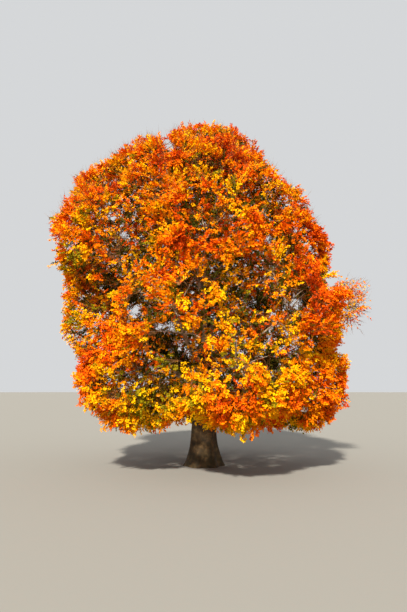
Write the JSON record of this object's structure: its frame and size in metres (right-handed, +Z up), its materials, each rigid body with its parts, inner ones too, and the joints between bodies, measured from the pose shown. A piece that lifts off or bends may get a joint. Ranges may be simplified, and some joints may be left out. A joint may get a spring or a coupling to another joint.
{
  "type": "beech tree",
  "caption": "Broad free-standing beech in autumn leaf: a tapering flared trunk, rising boughs and rounded masses of orange foliage down to near the ground.",
  "frame": {"origin": "middle of the flat cut under the trunk, at ground level", "axes": "+Z up along the trunk, +X to the right and +Y away from the viewer of the picture"},
  "size_m": [17.4547, 16.0936, 19.17],
  "materials": {
    "bark": "rough",
    "leaf_russet": "matte",
    "leaf_copper": "matte",
    "leaf_orange": "matte",
    "leaf_amber": "matte",
    "leaf_gold": "matte",
    "leaf_olive": "matte"
  },
  "bodies": {
    "root": {"bough_lower_1": "bark", "bough_lower_2": "bark", "bough_lower_3": "bark", "bough_lower_4": "bark", "bough_lower_5": "bark", "bough_lower_6": "bark", "bough_middle_1": "bark", "bough_middle_2": "bark", "bough_middle_3": "bark", "bough_middle_4": "bark", "bough_middle_5": "bark", "bough_middle_6": "bark", "bough_shoulder_1": "bark", "bough_shoulder_2": "bark", "bough_shoulder_3": "bark", "bough_skirt_1": "bark", "bough_skirt_2": "bark", "bough_skirt_3": "bark", "bough_skirt_4": "bark", "bough_skirt_5": "bark", "bough_skirt_6": "bark", "bough_thin": "bark", "bough_upper_1": "bark", "bough_upper_2": "bark", "bough_upper_3": "bark", "bough_upper_4": "bark", "bough_upper_5": "bark", "foliage_lower_1": "leaf_orange", "foliage_lower_2": "leaf_amber", "foliage_lower_3": "leaf_copper", "foliage_lower_4": "leaf_orange", "foliage_lower_5": "leaf_amber", "foliage_lower_6": "leaf_copper", "foliage_middle_1": "leaf_copper", "foliage_middle_2": "leaf_orange", "foliage_middle_3": "leaf_amber", "foliage_middle_4": "leaf_russet", "foliage_middle_5": "leaf_copper", "foliage_middle_6": "leaf_orange", "foliage_shoulder_1": "leaf_olive", "foliage_shoulder_2": "leaf_orange", "foliage_shoulder_3": "leaf_russet", "foliage_skirt_1": "leaf_gold", "foliage_skirt_2": "leaf_amber", "foliage_skirt_3": "leaf_orange", "foliage_skirt_4": "leaf_gold", "foliage_skirt_5": "leaf_amber", "foliage_skirt_6": "leaf_orange", "foliage_thin": "leaf_russet", "foliage_top": "leaf_orange", "foliage_upper_1": "leaf_russet", "foliage_upper_2": "leaf_olive", "foliage_upper_3": "leaf_amber", "foliage_upper_4": "leaf_orange", "foliage_upper_5": "leaf_copper", "trunk": "bark"}
  },
  "joints": []
}
